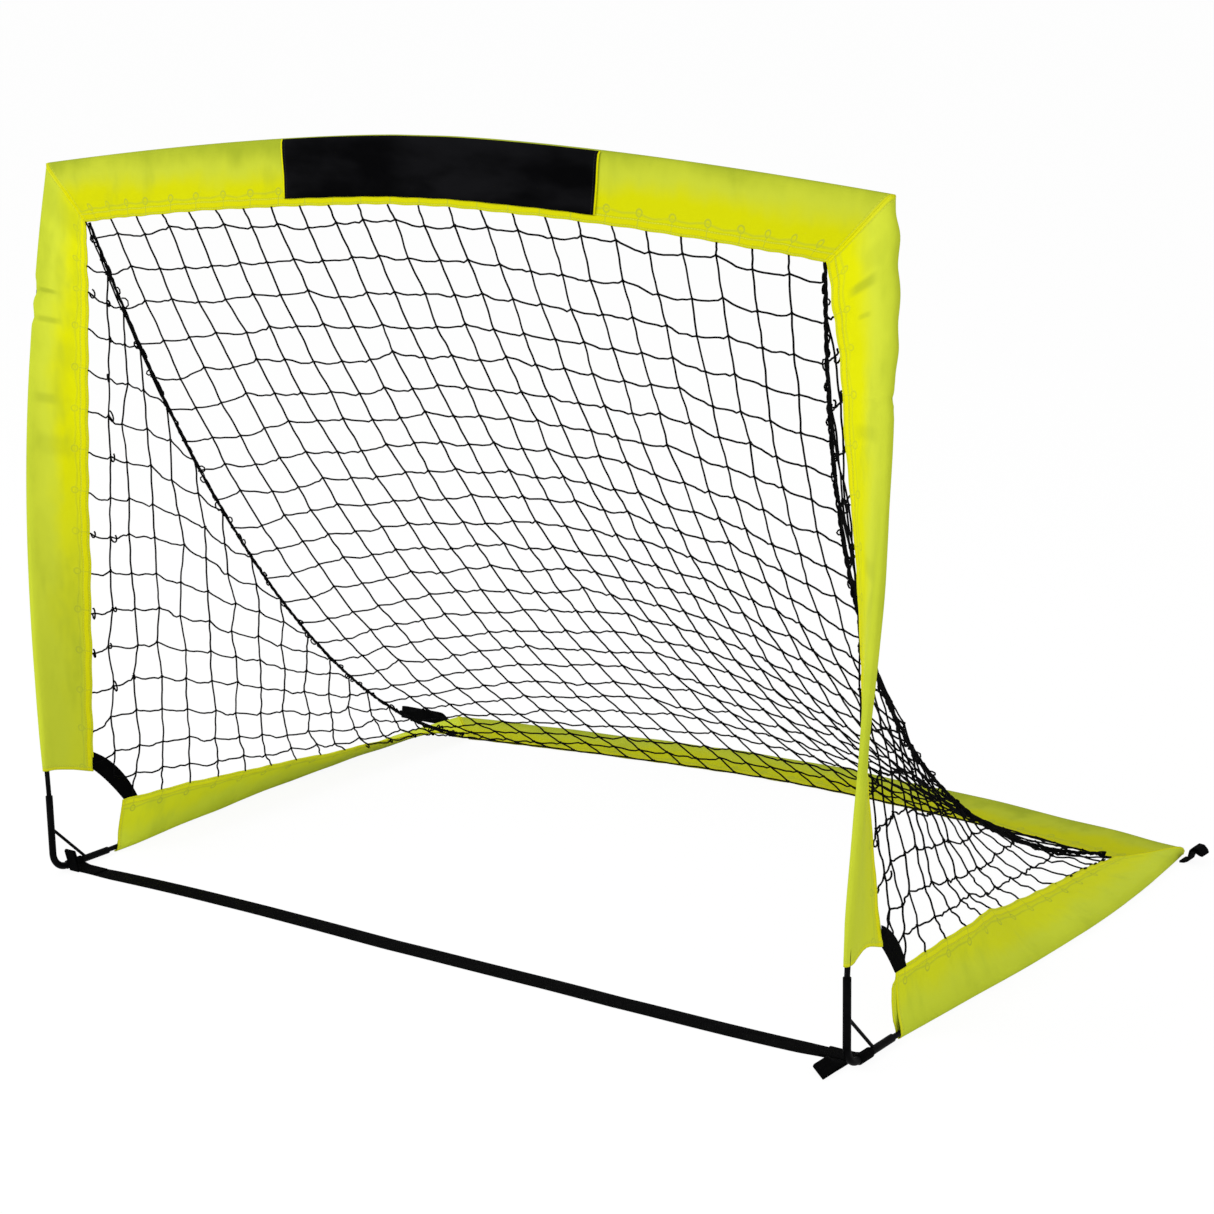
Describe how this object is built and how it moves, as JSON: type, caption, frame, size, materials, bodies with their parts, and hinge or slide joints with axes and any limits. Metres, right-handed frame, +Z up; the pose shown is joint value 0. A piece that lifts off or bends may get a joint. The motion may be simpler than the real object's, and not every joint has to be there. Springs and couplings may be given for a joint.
{
  "type": "portable training goal",
  "caption": "Low portable goal with a bowed, fabric-sleeved rod frame, a sagging net back and sides, bent steel corner feet and a webbing strap across the mouth.",
  "frame": {"origin": "middle of the ground strap's underside, on the ground between the two front uprights", "axes": "+X to the right for someone facing into the goal's mouth, +Y from the mouth to the rear bar, +Z up"},
  "size_m": [1.3816, 0.9502, 0.9474],
  "materials": {
    "black_steel": "black powder coat, satin",
    "fibreglass": "smooth drawn rod",
    "ferrule_metal": "plain tube",
    "elbow_plastic": "moulded",
    "sleeve_cloth": "coated fluorescent yellow-green cloth",
    "panel_cloth": "matt black cloth",
    "webbing": "woven webbing",
    "net_twine": "knotted twine"
  },
  "bodies": {
    "base": {"corner_bracket_left": "black_steel", "corner_bracket_right": "black_steel", "gusset_rod_left": "black_steel", "gusset_rod_right": "black_steel", "base_rod_left": "fibreglass", "base_rod_right": "fibreglass", "rear_rod_left": "fibreglass", "rear_rod_right": "fibreglass", "rear_ferrule": "ferrule_metal", "rear_elbow_left": "elbow_plastic", "rear_elbow_right": "elbow_plastic", "base_sleeve_left": "sleeve_cloth", "base_sleeve_right": "sleeve_cloth", "rear_sleeve": "sleeve_cloth", "corner_webbing_left": "webbing", "corner_webbing_right": "webbing", "ground_strap": "webbing", "strap_wrap_left": "webbing", "strap_wrap_right": "webbing", "edge_cord_left": "net_twine", "edge_cord_right": "net_twine", "side_net_left": "net_twine", "side_net_right": "net_twine", "back_net_foot": "net_twine", "back_net_lower": "net_twine", "back_net_upper": "net_twine", "back_net_top": "net_twine"},
    "arch": {"post_rod_left": "fibreglass", "post_rod_right": "fibreglass", "top_rod_left": "fibreglass", "top_rod_right": "fibreglass", "top_ferrule": "ferrule_metal", "top_elbow_left": "elbow_plastic", "top_elbow_right": "elbow_plastic", "post_sleeve_left": "sleeve_cloth", "post_sleeve_right": "sleeve_cloth", "top_sleeve": "sleeve_cloth", "header_panel": "panel_cloth"},
    "front_left_loop": {"stake_loop_front_left": "webbing"},
    "front_right_loop": {"stake_loop_front_right": "webbing"},
    "rear_left_loop": {"stake_loop_rear_left": "webbing"},
    "rear_right_loop": {"stake_loop_rear_right": "webbing"}
  },
  "joints": [
    {"name": "arch_lift", "type": "slide", "parent": "base", "child": "arch", "axis": [0, 0, 1], "range_m": [0, 0.05], "deforming": ["back_net_foot", "back_net_lower", "back_net_upper", "back_net_top", "side_net_left", "side_net_right", "edge_cord_left", "edge_cord_right", "corner_webbing_left", "corner_webbing_right"]},
    {"name": "front_left_loop_fold", "type": "hinge", "parent": "base", "child": "front_left_loop", "pos_m": [-0.57, -0.0142, 0.0013], "axis": [-1, 0, 0], "range_deg": [-74, 15]},
    {"name": "front_right_loop_fold", "type": "hinge", "parent": "base", "child": "front_right_loop", "pos_m": [0.57, -0.0142, 0.0013], "axis": [-1, 0, 0], "range_deg": [0, 90]},
    {"name": "rear_left_loop_fold", "type": "hinge", "parent": "base", "child": "rear_left_loop", "pos_m": [-0.6008, 0.7885, 0.0048], "axis": [0, 1, 0], "range_deg": [0, 90]},
    {"name": "rear_right_loop_fold", "type": "hinge", "parent": "base", "child": "rear_right_loop", "pos_m": [0.6008, 0.7885, 0.0048], "axis": [0, -1, 0], "range_deg": [0, 90]}
  ]
}
